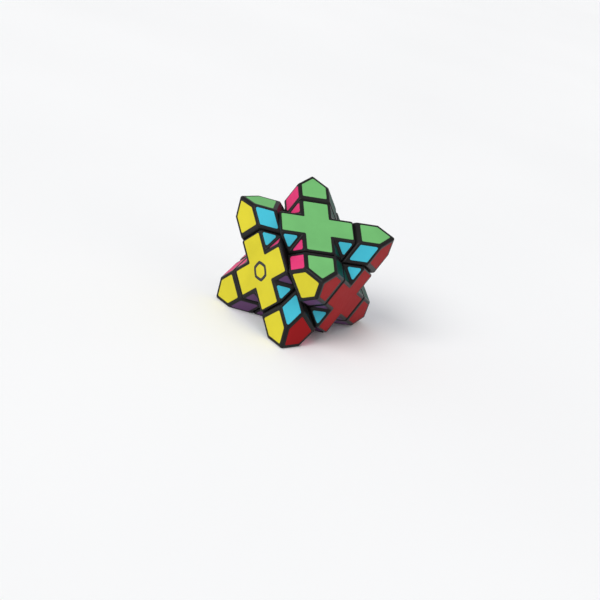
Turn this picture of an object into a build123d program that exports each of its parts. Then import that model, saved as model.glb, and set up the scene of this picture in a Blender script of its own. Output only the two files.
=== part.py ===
"""A twisty puzzle: a cube with four cuts through its centre and a V-notch at every edge.

The four cuts stand square to the cube's body diagonals.  They divide the cube into eight corner
pieces and six centre pieces.  Four of the corners are screwed to a core; the other four corners and
the six centres float, held in by feet that hook under their neighbours.  The puzzle stands on its
bottom face, with one half turned part of the way round on the core's screw.
Frame: origin at the core's centre, +Z up, front towards -Y, right towards +X.  Millimetres.
"""
from build123d import *
from math import sqrt
import os

os.makedirs("parts", exist_ok=True)

# ---------------------------------------------------------------- driving dimensions
HALF_SIDE = 30.0                        # half of the cube's side
TURN_ANGLE = 24.5                       # how far the turning half stands off its home position
NOTCH_RATIO = (3 - sqrt(5)) / 2         # a notch's point on a face, as a share of HALF_SIDE
CUT_GAP = 0.15                          # each shell stops this far short of its cut planes
EDGE_RADIUS = 1.2                       # round on the shells' outer edges
WALL = 2.0                              # shell wall

SHELL_SEAT = 19.1                       # shells end on this sphere
FOOT_TOP = 18.8                         # feet run under the shells, up to this sphere
FOOT_BOTTOM = 14.5                      # and down to this one
NECK_TOP = 19.6                         # a neck joins the foot to its plug
HOOK_REACH = 1.8                        # how far a foot reaches past its piece's cut plane
HOOK_PLAY = 0.12                        # play on each side of that boundary
PLUG_FIT = 0.06                         # side play of a foot's plug in its shell
CORNER_PLUG_TOP = 21.2                  # height of a corner's plug along its own diagonal
CENTRE_PLUG_TOP = 22.0                  # height of a centre's plug along its own axis

CORE_RADIUS = 9.0                       # ball in the middle
BOSS_RADIUS = 3.8                       # four round arms on it, one for each screw
BOSS_END = 13.7
SCREW_RADIUS = 1.5                      # M3
SCREW_PLAY = 0.08                       # running fit of the corner on its screw
THREAD_PLAY = 0.03                      # in the core
SCREW_LENGTH = 20.0
SPRING_SEAT = 19.4                      # floor of the spring's pocket
SPRING_RADIUS = 2.35                    # to the middle of the wire
WIRE_RADIUS = 0.25
SPRING_TURNS = 5
POCKET_RADIUS = 3.0
WASHER_START = 24.9
WASHER_THICKNESS = 0.5
WASHER_RADIUS = 3.2
HEAD_RADIUS = 2.75
HEAD_HEIGHT = 2.0
RECESS_RADIUS = 1.25                    # across the driver's cross recess
RECESS_WIDTH = 0.6
RECESS_DEPTH = 1.1

STICKER_THICKNESS = 0.2                 # each sticker lies flush in a pocket of this depth
STICKER_PLAY = 0.08                     # between a sticker and its pocket's wall
STICKER_ROUND = 0.75                    # radius of a sticker's corners
FROM_NOTCH = 0.052 * HALF_SIDE          # black margin beside a notch, on the faces
FROM_CUT = 0.077 * HALF_SIDE            # beside a cut plane, on the faces
NOTCH_FROM_CUT = 0.060 * HALF_SIDE      # and inside the notches
FROM_TIP = 0.069 * HALF_SIDE            # beside the cube's edges
FROM_FACE = 0.033 * HALF_SIDE           # beside a face, inside the notches
FROM_VALLEY = 0.052 * HALF_SIDE         # beside the bottom of a notch

# ---------------------------------------------------------------- where everything is
SPAN = 4 * HALF_SIDE                    # larger than the puzzle
NOTCH_DISTANCE = (1 + NOTCH_RATIO) * HALF_SIDE / sqrt(3)
SCREWED = [(1, 1, 1), (-1, -1, 1), (-1, 1, -1), (1, -1, -1)]
FLOATING = [(-x, -y, -z) for x, y, z in SCREWED]
TURN_AXIS = SCREWED[0]
FACE_NAMES = {(1, 0, 0): "right", (-1, 0, 0): "left", (0, 1, 0): "back",
              (0, -1, 0): "front", (0, 0, 1): "top", (0, 0, -1): "bottom"}
FACE_COLOURS = {(1, 0, 0): "red", (-1, 0, 0): "white", (0, 1, 0): "blue",
                (0, -1, 0): "yellow", (0, 0, 1): "green", (0, 0, -1): "orange"}
NOTCH_COLOURS = {(1, 1, 1): "dark_green", (1, -1, 1): "cyan",
                 (-1, -1, 1): "magenta", (1, -1, -1): "purple"}
TINTS = {"red": (0.30, 0.02, 0.02), "white": (0.85, 0.85, 0.85), "blue": (0.05, 0.15, 0.60),
         "yellow": (0.75, 0.65, 0.04), "green": (0.17, 0.48, 0.17), "orange": (0.85, 0.25, 0.03),
         "dark_green": (0.01, 0.08, 0.05), "cyan": (0.07, 0.48, 0.60),
         "magenta": (0.72, 0.05, 0.19), "purple": (0.11, 0.05, 0.12)}
BLACK = (0.01, 0.01, 0.012)
STEEL = (0.55, 0.55, 0.57)


def is_turning(direction):
    """Whether a piece at this direction belongs to the half that turns."""
    return sum(d * t for d, t in zip(direction, TURN_AXIS)) > 0


# ---------------------------------------------------------------- cutting tools
def below(solid, normal, distance):
    """Keep the side of a solid where it lies below a plane."""
    direction = Vector(*normal).normalized()
    return split(solid, bisect_by=Plane(origin=direction * distance, z_dir=direction), keep=Keep.BOTTOM)


def along(direction, distance=0.0):
    """A plane square to a direction, at a distance from the origin."""
    axis = Vector(*direction).normalized()
    return Plane(origin=axis * distance, z_dir=axis)


def rod(direction, start, end, radius):
    """A round rod along a direction from the origin."""
    return along(direction, (start + end) / 2) * Cylinder(radius, end - start)


# ---------------------------------------------------------------- outer shapes
CORNER_SIGNS = [(-1, 1, 1), (1, -1, 1), (1, 1, -1)]
FACES = [(1, 0, 0), (0, 1, 0), (0, 0, 1)]


def corner_block(inset, gap):
    """The corner piece at (1, 1, 1), its outer faces moved inwards and its cut planes drawn back."""
    block = Box(SPAN, SPAN, SPAN)
    for face in FACES:
        block = below(block, face, HALF_SIDE - inset)
    for sign in CORNER_SIGNS:
        block = below(block, sign, NOTCH_DISTANCE - inset)
        block = below(block, [-s for s in sign], -gap)
    return block


CENTRE_CUTS = [(1, 1, -1), (1, -1, -1), (-1, 1, -1), (-1, -1, -1)]


def notch(direction, inset):
    """One V-notch beside the top face, grown by a wall's thickness where it is cut from a cavity."""
    x, y = direction
    wedge = Box(SPAN, SPAN, SPAN)
    for side in (1, -1):
        wall = (x + side * y, y + side * x, 1)
        wedge = below(wedge, [-w for w in wall], -(NOTCH_DISTANCE - inset))
    return wedge


def centre_block(inset, gap):
    """The top centre piece: a pyramid with its point at the core and a notch on each side."""
    block = below(Box(SPAN, SPAN, SPAN), (0, 0, 1), HALF_SIDE - inset)
    for cut in CENTRE_CUTS:
        block = below(block, cut, -gap)
    for direction in ((1, 0), (-1, 0), (0, 1), (0, -1)):
        block -= notch(direction, inset)
    return block


def soften(block):
    """Round the edges that can be seen or felt, and leave those that run in to the core."""
    outer = [edge for edge in block.edges()
             if min(vertex.center().length for vertex in edge.vertices()) > SHELL_SEAT]
    return fillet(outer, EDGE_RADIUS)


# ---------------------------------------------------------------- stickers
def inset_outline(points, margins):
    """Move each edge of an anticlockwise outline inwards by its own margin."""
    count = len(points)
    lines = []
    for (x0, y0), (x1, y1), margin in zip(points, points[1:] + points[:1], margins):
        length = sqrt((x1 - x0) ** 2 + (y1 - y0) ** 2)
        nx, ny = (y0 - y1) / length, (x1 - x0) / length
        lines.append((nx, ny, nx * x0 + ny * y0 + margin))
    corners = []
    for index in range(count):
        a0, b0, c0 = lines[index - 1]
        a1, b1, c1 = lines[index]
        span = a0 * b1 - a1 * b0
        corners.append(((c0 * b1 - c1 * b0) / span, (a0 * c1 - a1 * c0) / span))
    return corners


def sticker(points, margins, normal, grow=0.0, rise=0.0):
    """A sticker sunk in the flat facet with these corners, or, grown a little, its pocket."""
    corners = [Vector(*point) * HALF_SIDE for point in points]
    facet = Plane(origin=corners[0], x_dir=corners[1] - corners[0], z_dir=Vector(*normal))
    flat = [facet.to_local_coords(corner) for corner in corners]
    outline = inset_outline([(p.X, p.Y) for p in flat], [margin - grow for margin in margins])
    shape = Polygon(*outline, align=None)
    shape = fillet(shape.vertices(), STICKER_ROUND + grow)
    floor = facet.offset(-STICKER_THICKNESS)
    return extrude(floor * shape, STICKER_THICKNESS + rise)


C = NOTCH_RATIO
MID_HIGH = (1 + C) / 2                  # where a notch meets a cut plane
MID_LOW = (1 - C) / 2


def cycle(point, steps):
    """Turn a point about the (1, 1, 1) diagonal, by swapping its coordinates round."""
    return point[-steps:] + point[:-steps] if steps else point


def corner_facets():
    """Outline, margins and normal of the six stickers on the corner at (1, 1, 1)."""
    arrow = [(MID_HIGH, MID_LOW, 1), (1, 1 - C, 1), (1, 1, 1), (1 - C, 1, 1), (MID_LOW, MID_HIGH, 1)]
    arrow_margins = [FROM_NOTCH, FROM_TIP, FROM_TIP, FROM_NOTCH, FROM_CUT]
    lozenge = [(1, 1 - C, 1), (MID_HIGH, MID_LOW, 1), (MID_HIGH, 0, MID_HIGH), (1, MID_LOW, MID_HIGH)]
    lozenge_margins = [FROM_FACE, NOTCH_FROM_CUT, NOTCH_FROM_CUT, FROM_FACE]
    facets = []
    for steps in range(3):
        facets.append(([cycle(p, steps) for p in arrow], arrow_margins, cycle((0, 0, 1), steps)))
        facets.append(([cycle(p, steps) for p in lozenge], lozenge_margins, cycle((1, -1, 1), steps)))
    return facets


def quarter(point, quarters):
    """Turn a point about the Z axis by quarter turns."""
    x, y, z = point
    for _ in range(quarters):
        x, y = -y, x
    return (x, y, z)


def centre_facets():
    """Outline, margins and normal of the cross and the eight triangles on the top centre."""
    arm = [(C, 0, 1), (MID_HIGH, MID_LOW, 1), (MID_LOW, MID_HIGH, 1)]
    cross = [quarter(point, n) for n in range(4) for point in arm]
    facets = [(cross, [FROM_NOTCH, FROM_CUT, FROM_NOTCH] * 4, (0, 0, 1))]
    for n in range(4):
        for side in (1, -1):
            triangle = [(C, 0, 1), (MID_HIGH, side * MID_LOW, 1), (MID_HIGH, 0, MID_HIGH)]
            margins = [FROM_FACE, NOTCH_FROM_CUT, FROM_VALLEY]
            if side > 0:
                triangle.reverse()
                margins = [NOTCH_FROM_CUT, FROM_FACE, FROM_VALLEY]
            outline = [quarter(point, n) for point in triangle]
            facets.append((outline, margins, quarter((1, -side, 1), n)))
    return facets


# ---------------------------------------------------------------- shells
def hollow(block, cavity, facets):
    """Turn a solid block into a shell that is open towards the core, with its sticker pockets."""
    shell = soften(block) - cavity - Sphere(SHELL_SEAT)
    for points, margins, normal in facets:
        shell -= sticker(points, margins, normal, STICKER_PLAY, EDGE_RADIUS)
    return shell


# ---------------------------------------------------------------- feet
def foot(direction, hubs, cavity, plug_top):
    """A foot that hooks under the neighbours, with a plug that fills its shell's mouth.

    Below the shells the cut planes are stepped sideways, away from each screw.  A piece that turns
    with a screw reaches past its cut plane, and a piece that stays behind is cut back to match.
    """
    segment = Sphere(NECK_TOP) - Sphere(FOOT_BOTTOM)
    for hub in hubs:
        beyond = [-h for h in hub]
        if sum(d * h for d, h in zip(direction, hub)) > 0:
            segment = below(segment, beyond, HOOK_REACH - HOOK_PLAY)
        else:
            segment = below(segment, hub, -HOOK_REACH - HOOK_PLAY)
    plug = below(cavity - Sphere(SHELL_SEAT), direction, plug_top)
    return (segment & Sphere(FOOT_TOP)) + (segment & cavity) + plug


# ---------------------------------------------------------------- core, screws and springs
def core():
    """The ball in the middle, with an arm and a screw hole towards each screwed corner."""
    body = Sphere(CORE_RADIUS)
    for direction in SCREWED:
        body += rod(direction, 0, BOSS_END, BOSS_RADIUS)
    for direction in SCREWED:
        tip = WASHER_START + WASHER_THICKNESS - SCREW_LENGTH
        body -= rod(direction, tip, BOSS_END + WALL, SCREW_RADIUS + THREAD_PLAY)
    return body


def screw(direction):
    """A cross-head screw, its head resting on the washer."""
    under_head = WASHER_START + WASHER_THICKNESS
    top = under_head + HEAD_HEIGHT
    head = rod(direction, under_head, top, HEAD_RADIUS)
    head = chamfer(head.edges().group_by(SortBy.DISTANCE)[-1], HEAD_HEIGHT / 4)
    for width, depth in ((RECESS_WIDTH, 2 * RECESS_RADIUS), (2 * RECESS_RADIUS, RECESS_WIDTH)):
        head -= along(direction, top) * Box(width, depth, 2 * RECESS_DEPTH)
    return head + rod(direction, under_head - SCREW_LENGTH, under_head, SCREW_RADIUS)


def spring(direction):
    """A coil spring between its pocket in the corner's foot and the washer."""
    height = WASHER_START - SPRING_SEAT - 2 * WIRE_RADIUS
    path = Helix(height / SPRING_TURNS, height, SPRING_RADIUS)
    wire = sweep(Plane(path @ 0, z_dir=path % 0) * Circle(WIRE_RADIUS), path=path)
    return along(direction, SPRING_SEAT + WIRE_RADIUS) * wire


def washer(direction):
    """A flat washer between the spring and the screw's head."""
    ring = rod(direction, WASHER_START, WASHER_START + WASHER_THICKNESS, WASHER_RADIUS)
    return ring - rod(direction, 0, SPAN, SCREW_RADIUS + SCREW_PLAY)


# ---------------------------------------------------------------- putting it together
ORIGIN = (0, 0, 0)
DIAGONAL = Axis(ORIGIN, TURN_AXIS)
HALF_TURNS = {(1, 1, 1): [], (-1, -1, 1): [(Axis.Z, 180)],
              (-1, 1, -1): [(Axis.Y, 180)], (1, -1, -1): [(Axis.X, 180)]}


def turned(item, turns):
    """Carry a shape or a direction through a list of turns about the origin."""
    for axis, angle in turns:
        item = item.rotate(axis, angle)
    return item


def rounded(direction):
    """A turned direction as a tuple of whole numbers."""
    return (round(direction.X), round(direction.Y), round(direction.Z))


def corner_places():
    """Home direction, turns from (1, 1, 1), and whether it is screwed, for each corner."""
    places = []
    for turns in HALF_TURNS.values():
        for screwed in (True, False):
            route = turns if screwed else [(Axis.Z, 90)] + turns
            places.append((rounded(turned(Vector(1, 1, 1), route)), route, screwed))
    return places


def centre_places():
    """Home direction and turns from the top, for each centre."""
    places = []
    for third in (0, 120, 240):
        for turns in ([], HALF_TURNS[(-1, -1, 1)] if third else HALF_TURNS[(1, -1, -1)]):
            route = [(DIAGONAL, third)] + turns
            places.append((rounded(turned(Vector(0, 0, 1), route)), route))
    return places


def colour_of(normal):
    """The colour of the sticker that faces this way while its piece is at home."""
    if normal in FACE_COLOURS:
        return FACE_COLOURS[normal]
    return NOTCH_COLOURS.get(normal) or NOTCH_COLOURS[tuple(-n for n in normal)]


def words(direction):
    """The sides that a piece lies on, as words."""
    sides = [tuple(d if i == k else 0 for i in range(3)) for k, d in enumerate(direction) if d]
    return "_".join(FACE_NAMES[side] for side in sides)


nodes = {}
sticker_groups = {}


def add_piece(kind, direction, route, shell, feet, facets):
    """Place one corner or centre piece, and sort its stickers by colour and by half."""
    half = "turning" if is_turning(direction) else "base"
    if half == "turning":
        route = route + [(DIAGONAL, TURN_ANGLE)]
    name = kind + "_" + words(direction)
    nodes[name + "_shell"] = (turned(shell, route), BLACK)
    nodes[name + "_foot"] = (turned(feet, route), BLACK)
    home_route = route[:-1] if half == "turning" else route
    for points, margins, normal in facets:
        colour = colour_of(rounded(turned(Vector(*normal), home_route)))
        placed = turned(sticker(points, margins, normal), route)
        sticker_groups.setdefault((colour, half), []).append(placed)


def build():
    """Make one piece of each kind, copy it to its places, and write a file for each node."""
    play = CUT_GAP + WALL
    corner_shell = hollow(corner_block(0, CUT_GAP), corner_block(WALL, play), corner_facets())
    corner_plug = corner_block(WALL + PLUG_FIT, play + PLUG_FIT)
    centre_shell = hollow(centre_block(0, CUT_GAP), centre_block(WALL, play), centre_facets())
    centre_plug = centre_block(WALL + PLUG_FIT, play + PLUG_FIT)
    bore = rod(TURN_AXIS, BOSS_END, SPAN, SCREW_RADIUS + SCREW_PLAY)
    bore += rod(TURN_AXIS, SPRING_SEAT, SPAN, POCKET_RADIUS)
    screwed_foot = foot((1, 1, 1), SCREWED, corner_plug, CORNER_PLUG_TOP) - bore
    floating_foot = foot((1, 1, 1), FLOATING, corner_plug, CORNER_PLUG_TOP)
    centre_foot = foot((0, 0, 1), SCREWED, centre_plug, CENTRE_PLUG_TOP)

    for direction, route, screwed in corner_places():
        feet = screwed_foot if screwed else floating_foot
        add_piece("corner", direction, route, corner_shell, feet, corner_facets())
    for direction, route in centre_places():
        add_piece("centre", direction, route, centre_shell, centre_foot, centre_facets())
    nodes["core"] = (core(), BLACK)
    nodes["axis_screws"] = (Compound(children=[screw(d) for d in SCREWED]), STEEL)
    nodes["washers"] = (Compound(children=[washer(d) for d in SCREWED]), STEEL)
    nodes["springs"] = (Compound(children=[spring(d) for d in SCREWED]), STEEL)
    for (colour, half), group in sticker_groups.items():
        nodes["stickers_" + colour + "_" + half] = (Compound(children=group), TINTS[colour])
    for name, (shape, tint) in nodes.items():
        shape.color = Color(*tint)
        shape.label = name
        export_step(shape, "parts/" + name + ".step")


build()
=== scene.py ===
# %% [markdown]
# # A cube that turns about its corners
#
# This puzzle is a cube of black plastic with a big X on every face and a V-shaped notch in the middle
# of every edge.  Four flat cuts run through its centre, each square to a body diagonal, so half of the
# puzzle can turn against the other half.  It stands here with one half turned part of the way round.
#
# The plastic pieces, the mechanism and the joint were designed elsewhere, to the tenth of a
# millimetre.  This lesson adds what the eye needs: moulded plastic with worn edges, vinyl stickers,
# steel, soft light and a camera.  It begins by loading the engineered model, and by keeping its box,
# because nothing added later may make the puzzle visibly bigger.

# %% Load the engineered model
from math import cos, pi, radians, sin

import bpy
from mathutils import Matrix, Vector


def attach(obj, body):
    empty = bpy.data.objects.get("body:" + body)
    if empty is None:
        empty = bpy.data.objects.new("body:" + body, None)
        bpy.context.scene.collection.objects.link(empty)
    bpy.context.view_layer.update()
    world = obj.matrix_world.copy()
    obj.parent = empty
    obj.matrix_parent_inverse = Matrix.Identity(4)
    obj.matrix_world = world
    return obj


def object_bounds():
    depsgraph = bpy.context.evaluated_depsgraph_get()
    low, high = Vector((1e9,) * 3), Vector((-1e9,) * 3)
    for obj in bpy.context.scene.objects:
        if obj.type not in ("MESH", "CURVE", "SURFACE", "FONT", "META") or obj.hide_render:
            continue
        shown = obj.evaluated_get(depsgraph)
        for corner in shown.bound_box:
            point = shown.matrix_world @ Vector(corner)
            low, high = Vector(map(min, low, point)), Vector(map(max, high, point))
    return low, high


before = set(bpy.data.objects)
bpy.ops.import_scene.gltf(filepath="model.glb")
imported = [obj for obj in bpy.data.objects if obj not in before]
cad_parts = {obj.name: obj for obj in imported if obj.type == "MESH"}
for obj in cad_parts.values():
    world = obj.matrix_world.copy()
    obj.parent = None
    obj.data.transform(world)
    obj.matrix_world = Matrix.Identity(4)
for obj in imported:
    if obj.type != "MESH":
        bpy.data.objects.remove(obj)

engineered_box = [list(corner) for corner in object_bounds()]
bottom = engineered_box[0][2]
half_side = -bottom
print("half of the cube's side", round(half_side * 1000, 2), "mm")

# %% [markdown]
# ## The camera
#
# A camera could be placed by eye, but three angles and a distance say more.  The azimuth walks round
# the puzzle from its front, the elevation climbs, and the roll leans the head to one side.  A long
# lens from two thirds of a metre keeps the near corner from looming.  The camera looks at a point a
# little below the core, so the puzzle sits a little above the middle of the picture.

# %% Place the camera
VIEW_AZIMUTH = radians(45.3)
VIEW_ELEVATION = radians(22.3)
VIEW_ROLL = radians(15.3)
VIEW_DISTANCE = 0.655
AIM = Vector((0.0062, -0.0026, -0.0158))
LENS_MM = 73.5
SENSOR_MM = 36
NEAREST = 0.01


def view_axes(azimuth, elevation):
    """Right, up and back for somebody who walks round to an azimuth and climbs to an elevation."""
    back = Vector((sin(azimuth) * cos(elevation), -cos(azimuth) * cos(elevation), sin(elevation)))
    right = Vector((cos(azimuth), sin(azimuth), 0))
    return right, back.cross(right), back


def place_camera():
    """A camera with a long lens, placed by angles and distance, and made the scene's own."""
    right, up, back = view_axes(VIEW_AZIMUTH, VIEW_ELEVATION)
    lean = Matrix.Rotation(VIEW_ROLL, 3, back)
    axes = Matrix((lean @ right, lean @ up, back)).transposed()
    camera = bpy.data.cameras.new("camera")
    camera.lens = LENS_MM
    camera.sensor_width = SENSOR_MM
    camera.clip_start = NEAREST
    holder = bpy.data.objects.new("camera", camera)
    holder.matrix_world = Matrix.Translation(AIM + back * VIEW_DISTANCE) @ axes.to_4x4()
    bpy.context.collection.objects.link(holder)
    bpy.context.scene.camera = holder
    return holder


camera = place_camera()
print("camera at", [round(value, 3) for value in camera.matrix_world.translation])

# %% [markdown]
# ## Small helpers for materials
#
# Every finish here is a little network of nodes.  Building one by hand means the same three steps
# again and again: add a node, set its sockets, and join it to the next.  The helper called node does
# all three, and the others name what is made with it most: clouds of noise, blends and bumps.  A
# noise's scale counts its clouds in a metre, so 90 gives patches of a centimetre and 6500 a fine
# grain.  Numbers that are the same all over a surface go straight on the shader's own sockets.

# %% Helpers for node networks
def new_finish(name):
    """An empty material with its shader, ready for nodes."""
    finish = bpy.data.materials.new(name)
    finish.use_nodes = True
    return finish, finish.node_tree, finish.node_tree.nodes["Principled BSDF"]


def node(tree, kind, settings=None, **sockets):
    """Add a node, set its options, and fill or join its inputs by name, or by number as i0, i1."""
    made = tree.nodes.new(kind)
    for key, value in (settings or {}).items():
        setattr(made, key, value)
    for key, value in sockets.items():
        numbered = key[0] == "i" and key[1:].isdigit()
        socket = made.inputs[int(key[1:]) if numbered else key]
        if isinstance(value, bpy.types.NodeSocket):
            tree.links.new(value, socket)
        else:
            socket.default_value = value
    return made


def place_of(tree):
    """Where a point lies on the object, in metres, whatever way the object is turned."""
    return tree.nodes.new("ShaderNodeTexCoord").outputs["Object"]


def noise(tree, scale, detail=3.0, roughness=0.5, stretch=None):
    """Cloudy noise from 0 to 1, stretched along one axis when asked."""
    where = place_of(tree)
    if stretch:
        where = node(tree, "ShaderNodeMapping", Vector=where, Scale=stretch).outputs[0]
    return node(tree, "ShaderNodeTexNoise", Vector=where, Scale=scale, Detail=detail,
                Roughness=roughness).outputs["Fac"]


def ramp(tree, fac, low, high, from_low=0.3, from_high=0.7):
    """One colour below from_low, another above from_high, and a blend between them."""
    made = node(tree, "ShaderNodeValToRGB", Fac=fac)
    stops = zip(made.color_ramp.elements, (from_low, from_high), (low, high))
    for element, position, colour in stops:
        element.position = position
        element.color = (*colour, 1)
    return made.outputs["Color"]


def spread(tree, fac, low, high, from_low=0.0, from_high=1.0):
    """Map a factor on to a range of numbers."""
    made = node(tree, "ShaderNodeMapRange", Value=fac, i1=from_low, i2=from_high, i3=low, i4=high)
    return made.outputs[0]


def crests(tree, fac, from_low, from_high, height=1.0):
    """0 everywhere except on the highest crests of a noise, which makes sparse marks."""
    return spread(tree, fac, 0.0, height, from_low, from_high)


def mix(tree, fac, first, second):
    """Blend the colour of a socket into a plain colour."""
    made = node(tree, "ShaderNodeMix", {"data_type": "RGBA"}, i0=fac, i6=first, i7=(*second, 1))
    return made.outputs[2]


def combine(tree, operation, first, second):
    """Add or multiply two numbers."""
    return node(tree, "ShaderNodeMath", {"operation": operation}, i0=first, i1=second).outputs[0]


def roughen(tree, shader, height, strength, distance):
    """Let a height in metres tilt the light on a surface without changing its shape."""
    bump = node(tree, "ShaderNodeBump", Height=height, Strength=strength, Distance=distance)
    tree.links.new(bump.outputs[0], shader.inputs["Normal"])


def shade(colour, factor):
    """A lighter or darker version of a colour."""
    return tuple(min(1.0, channel * factor) for channel in colour)


print("helpers ready")

# %% [markdown]
# ## Finding the edges
#
# Handling polishes and scuffs a puzzle along its edges first.  One way to find an edge is to paint
# it by hand; another is to compare the true surface direction with the direction that a rounded
# copy would have.  The Bevel node gives that second direction.  Where the two differ there is an
# edge, so their dot product drops below one there, and stretching that drop gives a mask.

# %% An edge mask
ON_EDGE = 0.85
ON_FLAT = 0.995
BEVEL_RAYS = 4


def edge_mask(tree, radius, strength):
    """1 along edges and 0 on flats, about as wide as the radius in metres."""
    rounded = node(tree, "ShaderNodeBevel", {"samples": BEVEL_RAYS}, Radius=radius).outputs[0]
    true = tree.nodes.new("ShaderNodeNewGeometry").outputs["Normal"]
    match = node(tree, "ShaderNodeVectorMath", {"operation": "DOT_PRODUCT"}, i0=rounded, i1=true)
    return spread(tree, match.outputs["Value"], strength, 0.0, ON_EDGE, ON_FLAT)


print("edge mask ready")

# %% [markdown]
# ## Black moulded plastic
#
# The caps are black plastic with a soft shine.  Close up, moulded plastic isn't a mirror: it has a
# very fine texture from the mould, broad patches where fingers have polished it, thin scratches from
# sliding over its neighbours, and edges rubbed a shade greyer.  Each of those is one noise at its own
# size.  The feet inside are the same plastic with a duller surface, so one function makes both.

# %% Plastic finishes
PLASTIC_DARK = (0.0105, 0.0098, 0.0100)
PLASTIC_PALE = (0.0160, 0.0150, 0.0148)
PLASTIC_RUBBED = (0.032, 0.030, 0.030)
RUBBED_WIDTH = 0.0005
ALONG_SLIDES = (1, 14, 3)


def plastic_finish(name, shine, mould_depth, scuffs):
    """Black plastic: shine is its roughness, mould_depth its relief, scuffs how worn its edges are."""
    finish, tree, shader = new_finish(name)
    edges = edge_mask(tree, RUBBED_WIDTH, scuffs)
    patches = noise(tree, scale=90, detail=4)
    chipped = crests(tree, noise(tree, scale=700, detail=5, roughness=0.7), 0.35, 0.7)
    broken = combine(tree, "MULTIPLY", edges, chipped)
    base = ramp(tree, patches, PLASTIC_DARK, PLASTIC_PALE)
    worn = mix(tree, broken, base, PLASTIC_RUBBED)
    tree.links.new(worn, shader.inputs["Base Color"])
    polish = spread(tree, patches, shine - 0.05, shine + 0.09)
    tree.links.new(polish, shader.inputs["Roughness"])
    grain = noise(tree, scale=6500, detail=2)
    scratches = crests(tree, noise(tree, scale=420, detail=2, stretch=ALONG_SLIDES), 0.68, 0.74)
    roughen(tree, shader, combine(tree, "ADD", grain, scratches), 0.25, mould_depth)
    shader.inputs["IOR"].default_value = 1.5
    shader.inputs["Specular IOR Level"].default_value = 0.12
    return finish


shell_plastic = plastic_finish("shell_plastic", shine=0.30, mould_depth=0.00002, scuffs=0.8)
foot_plastic = plastic_finish("foot_plastic", shine=0.45, mould_depth=0.00003, scuffs=0.4)
core_plastic = plastic_finish("core_plastic", shine=0.50, mould_depth=0.00003, scuffs=0.3)
print("plastics", shell_plastic.name, foot_plastic.name, core_plastic.name)

# %% [markdown]
# ## Vinyl stickers
#
# The stickers are cut from coloured vinyl a fifth of a millimetre thick.  Their colour is even but
# not perfect: it fades a little in patches, fingers leave a film that changes the shine, and a few
# fine scratches catch the light.  Dirt gathers in a thin darker line along the cut edge.  A flat
# colour would look like paint on a screen, so each of these is added as a faint layer of noise.

# %% Vinyl finishes
VINYL = {
    "green": (0.165, 0.470, 0.160),
    "yellow": (0.640, 0.560, 0.035),
    "red": (0.330, 0.012, 0.014),
    "white": (0.800, 0.795, 0.770),
    "blue": (0.030, 0.120, 0.560),
    "orange": (0.830, 0.230, 0.020),
    "cyan": (0.060, 0.470, 0.600),
    "magenta": (0.700, 0.045, 0.170),
    "purple": (0.135, 0.063, 0.155),
    "dark_green": (0.006, 0.065, 0.042),
}
CUT_EDGE_WIDTH = 0.0002
VINYL_RELIEF = 0.000004
ALONG_SMEARS = (1, 2.5, 1)
ALONG_SCRATCHES = (12, 1, 3)


def vinyl_finish(name, colour):
    """Coloured vinyl: faded patches, dark specks, a dirty cut edge, smears and fine scratches."""
    finish, tree, shader = new_finish("vinyl_" + name)
    film = ramp(tree, noise(tree, scale=60), shade(colour, 0.93), shade(colour, 1.05))
    specks = crests(tree, noise(tree, scale=2600, detail=2), 0.66, 0.74, height=0.35)
    speckled = mix(tree, specks, film, shade(colour, 0.6))
    grime = edge_mask(tree, CUT_EDGE_WIDTH, 0.75)
    edged = mix(tree, grime, speckled, shade(colour, 0.35))
    tree.links.new(edged, shader.inputs["Base Color"])
    smears = noise(tree, scale=240, detail=5, roughness=0.6, stretch=ALONG_SMEARS)
    tree.links.new(spread(tree, smears, 0.32, 0.42, 0.3, 0.7), shader.inputs["Roughness"])
    peel = noise(tree, scale=1500, detail=2)
    scratched = noise(tree, scale=260, detail=2, stretch=ALONG_SCRATCHES)
    scratches = crests(tree, scratched, 0.70, 0.76, height=1.2)
    roughen(tree, shader, combine(tree, "ADD", peel, scratches), 0.2, VINYL_RELIEF)
    shader.inputs["IOR"].default_value = 1.4
    shader.inputs["Specular IOR Level"].default_value = 0.04
    return finish


vinyls = {name: vinyl_finish(name, colour) for name, colour in VINYL.items()}
print("vinyl colours", sorted(vinyls))

# %% [markdown]
# ## Steel
#
# Only a stripped puzzle shows its screws, washers and springs, but they are there, so they get real
# steel: metallic, with fine machining marks that break up the shine.

# %% Steel finishes
STEEL_RELIEF = 0.00001
ALONG_MARKS = (1, 1, 9)


def steel_finish(name, tint, roughness):
    """Bare steel with machining marks drawn out along one axis."""
    finish, tree, shader = new_finish(name)
    marks = noise(tree, scale=1800, roughness=0.6, stretch=ALONG_MARKS)
    tree.links.new(ramp(tree, marks, shade(tint, 0.8), tint), shader.inputs["Base Color"])
    tree.links.new(spread(tree, marks, roughness - 0.06, roughness + 0.1), shader.inputs["Roughness"])
    roughen(tree, shader, marks, 0.15, STEEL_RELIEF)
    shader.inputs["Metallic"].default_value = 1.0
    return finish


steel = steel_finish("steel", tint=(0.62, 0.62, 0.63), roughness=0.28)
spring_wire = steel_finish("spring_wire", tint=(0.48, 0.48, 0.50), roughness=0.33)
print("steels", steel.name, spring_wire.name)

# %% [markdown]
# ## Smooth rounds, crisp flats
#
# The caps' edges are rounded, but a rounded edge is stored as narrow flat strips.  Shading everything
# smooth would bend the light on the flats too.  A small modifier made of geometry nodes smooths only
# where neighbouring faces meet at a shallow angle, and keeps the sharp joints sharp.

# %% A shading modifier
SHALLOW = radians(32)


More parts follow.
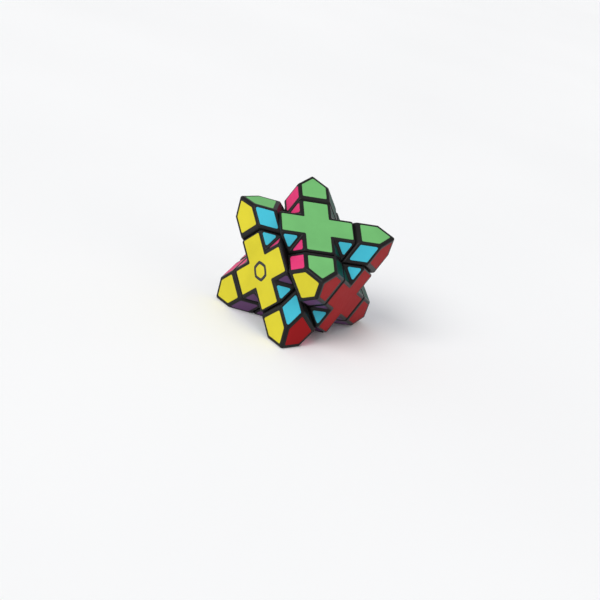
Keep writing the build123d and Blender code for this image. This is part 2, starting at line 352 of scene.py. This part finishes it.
def soft_shading():
    """A node group that shades smooth across shallow edges only."""
    group = bpy.data.node_groups.new("soft_shading", "GeometryNodeTree")
    group.interface.new_socket("Geometry", in_out="INPUT", socket_type="NodeSocketGeometry")
    group.interface.new_socket("Geometry", in_out="OUTPUT", socket_type="NodeSocketGeometry")
    source = group.nodes.new("NodeGroupInput").outputs[0]
    faces = node(group, "GeometryNodeSetShadeSmooth", {"domain": "FACE"}, Geometry=source)
    angle = group.nodes.new("GeometryNodeInputMeshEdgeAngle").outputs["Unsigned Angle"]
    shallow = node(group, "FunctionNodeCompare", {"operation": "LESS_THAN"}, i0=angle, i1=SHALLOW)
    edges = node(group, "GeometryNodeSetShadeSmooth", {"domain": "EDGE"}, Geometry=faces.outputs[0],
                 **{"Shade Smooth": shallow.outputs[0]})
    group.links.new(edges.outputs[0], group.nodes.new("NodeGroupOutput").inputs[0])
    return group


shading_group = soft_shading()


def shade_softly(piece):
    """Give a piece the shading modifier."""
    modifier = piece.modifiers.new("soft_shading", "NODES")
    modifier.node_group = shading_group


print("shading group has", len(shading_group.nodes), "nodes")

# %% [markdown]
# ## Dressing the engineered pieces
#
# Each engineered piece already has its true shape and place, so it is only dressed.  Its name says
# what it is: a shell, a foot, a colour of stickers, or a piece of the mechanism.  The stickers also
# get a tiny bevel, because a cut edge that is perfectly sharp never catches the light.

# %% Dress every piece
STICKER_PREFIX = "stickers_"
STICKER_BEVEL = 0.00006
BEVEL_STEPS = 2
SHARP_CORNER = radians(50)
BY_ENDING = {"shell": shell_plastic, "foot": foot_plastic, "core": core_plastic,
             "springs": spring_wire, "screws": steel, "washers": steel}


def finish_for(name):
    """The finish that belongs to a piece's name."""
    if name.startswith(STICKER_PREFIX):
        return vinyls[name.removeprefix(STICKER_PREFIX).rsplit("_", 1)[0]]
    return BY_ENDING[name.rsplit("_", 1)[-1]]


def dress(name, piece):
    """Set a piece's finish, soften a sticker's edge, and smooth the shading."""
    piece.data.materials.clear()
    piece.data.materials.append(finish_for(name))
    if name.startswith(STICKER_PREFIX):
        bevel = piece.modifiers.new("cut_edge", "BEVEL")
        bevel.width = STICKER_BEVEL
        bevel.segments = BEVEL_STEPS
        bevel.limit_method = "ANGLE"
        bevel.angle_limit = SHARP_CORNER
    shade_softly(piece)


for name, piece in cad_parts.items():
    dress(name, piece)
print("dressed", len(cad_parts), "pieces")

# %% [markdown]
# ## A printed mark
#
# Makers print a small badge on one face.  This one is a plain six-sided outline that stands for no
# maker at all.  A badge could be a picture laid on the sticker, but a picture needs a file and blurs
# close up.  Here it is a film of ink with a real shape: an outer and an inner outline whose sides
# bulge a little, joined into a ring that stands two hundredths of a millimetre proud.

# %% Print the mark
INK_RADIUS = 0.0056
INK_LINE = 0.0018
INK_THICKNESS = 0.00002
INK_SINK = 0.00001
INK_BLACK = (0.012, 0.011, 0.011)
INK_RUBBED = (0.050, 0.045, 0.030)
SIDES = 6
ROUNDNESS = 0.35
ROUND_REACH = 0.93
STEPS = 96
front_face = -half_side


def outline_reach(angle, radius):
    """Distance from the middle to an outline that lies part of the way from a hexagon to a circle."""
    side = 2 * pi / SIDES
    hexagon = cos(side / 2) / cos((angle % side) - side / 2)
    return radius * (hexagon * (1 - ROUNDNESS) + ROUNDNESS * ROUND_REACH)


def ink_finish():
    """Black ink, rubbed through to a yellowish grey in small spots."""
    finish, tree, shader = new_finish("ink")
    rubbed = noise(tree, scale=1400, detail=4, roughness=0.6)
    tree.links.new(ramp(tree, rubbed, INK_BLACK, INK_RUBBED, 0.55, 0.75), shader.inputs["Base Color"])
    tree.links.new(spread(tree, rubbed, 0.35, 0.6), shader.inputs["Roughness"])
    return finish


def ring_mesh(name, loops):
    """A closed band through loops of points, each given as an outline's radius and its depth."""
    points = []
    for radius, depth in loops:
        for step in range(STEPS):
            angle = 2 * pi * step / STEPS
            reach = outline_reach(angle, radius)
            points.append((reach * cos(angle), depth, reach * sin(angle)))
    faces = []
    for loop in range(len(loops)):
        here = loop * STEPS
        there = (loop + 1) % len(loops) * STEPS
        for step in range(STEPS):
            ahead = (step + 1) % STEPS
            faces.append((here + step, here + ahead, there + ahead, there + step))
    mesh = bpy.data.meshes.new(name)
    mesh.from_pydata(points, [], faces)
    return mesh


def print_mark():
    """A ring of ink on the front face, sunk a little so that it has no gap behind it."""
    inner = INK_RADIUS - INK_LINE
    back, top = front_face + INK_SINK, front_face - INK_THICKNESS
    mesh = ring_mesh("printed_mark", [(INK_RADIUS, back), (INK_RADIUS, top), (inner, top), (inner, back)])
    mesh.materials.append(ink_finish())
    piece = bpy.data.objects.new("printed_mark", mesh)
    bpy.context.collection.objects.link(piece)
    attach(piece, "base_half")
    return piece


mark = print_mark()
print("mark", round(mark.dimensions.x * 1000, 2), "mm across")

# %% [markdown]
# ## The floor and the light
#
# A pale floor without a visible edge keeps the eye on the puzzle.  Lamps a few metres away would
# light the floor in a pool that fades to grey behind the puzzle.  Lights as far off as the sun fall
# evenly everywhere, so the floor stays the same white all the way back.  A real sun is half a degree
# wide and draws hard shadows, so these are thirty to forty degrees wide, as a big bright window is.
# The strongest comes over the front, one from above lights the tops, and a weak one fills the right.
# The sky is brightest at the horizon, so the far end of the floor melts into it.

# %% Floor
FLOOR_SPAN = 60.0
FLOOR_DULL = (0.94, 0.94, 0.94)
FLOOR_BRIGHT = (0.97, 0.97, 0.97)
FLOOR_ROUGHNESS = 0.8
FLOOR_SHINE = 0.1


def pale_floor():
    """A matt sheet that the puzzle stands on."""
    finish, tree, shader = new_finish("floor")
    tone = ramp(tree, noise(tree, scale=3, detail=2), FLOOR_DULL, FLOOR_BRIGHT)
    tree.links.new(tone, shader.inputs["Base Color"])
    shader.inputs["Roughness"].default_value = FLOOR_ROUGHNESS
    shader.inputs["Specular IOR Level"].default_value = FLOOR_SHINE
    edge = FLOOR_SPAN / 2
    mesh = bpy.data.meshes.new("floor")
    corners = [(x, y, bottom) for x, y in ((-edge, -edge), (edge, -edge), (edge, edge), (-edge, edge))]
    mesh.from_pydata(corners, [], [(0, 1, 2, 3)])
    mesh.materials.append(finish)
    plane = bpy.data.objects.new("floor", mesh)
    bpy.context.collection.objects.link(plane)
    return plane


floor = pale_floor()
print("floor at", round(bottom * 1000, 2), "mm")

# %% Lights and sky
SKY_TINT = (0.97, 0.98, 1.0, 1)
HORIZON_GLOW = 0.95
OVERHEAD_GLOW = 0.45
GLOW_HEIGHT = 0.35


def soft_light(name, azimuth, elevation, width, strength):
    """Even light from one direction, softened by its angular width in degrees."""
    right, up, back = view_axes(radians(azimuth), radians(elevation))
    light = bpy.data.lights.new(name, "SUN")
    light.angle = radians(width)
    light.energy = strength
    holder = bpy.data.objects.new(name, light)
    holder.matrix_world = Matrix((right, up, back)).transposed().to_4x4()
    bpy.context.collection.objects.link(holder)
    return holder


lights = [
    soft_light("key", azimuth=5, elevation=42, width=34, strength=1.75),
    soft_light("top", azimuth=60, elevation=82, width=40, strength=0.42),
    soft_light("fill", azimuth=100, elevation=30, width=32, strength=0.16),
]


def pale_sky():
    """A cool pale light from all around, brightest at the horizon, where it meets the floor."""
    world = bpy.data.worlds.new("sky")
    world.use_nodes = True
    tree = world.node_tree
    background = tree.nodes["Background"]
    background.inputs["Color"].default_value = SKY_TINT
    direction = tree.nodes.new("ShaderNodeTexCoord").outputs["Generated"]
    height = node(tree, "ShaderNodeSeparateXYZ", Vector=direction).outputs["Z"]
    glow = spread(tree, height, HORIZON_GLOW, OVERHEAD_GLOW, 0.0, GLOW_HEIGHT)
    tree.links.new(glow, background.inputs["Strength"])
    bpy.context.scene.world = world


pale_sky()
bpy.context.scene.view_settings.view_transform = "Standard"
print("lights", [light.name for light in lights])
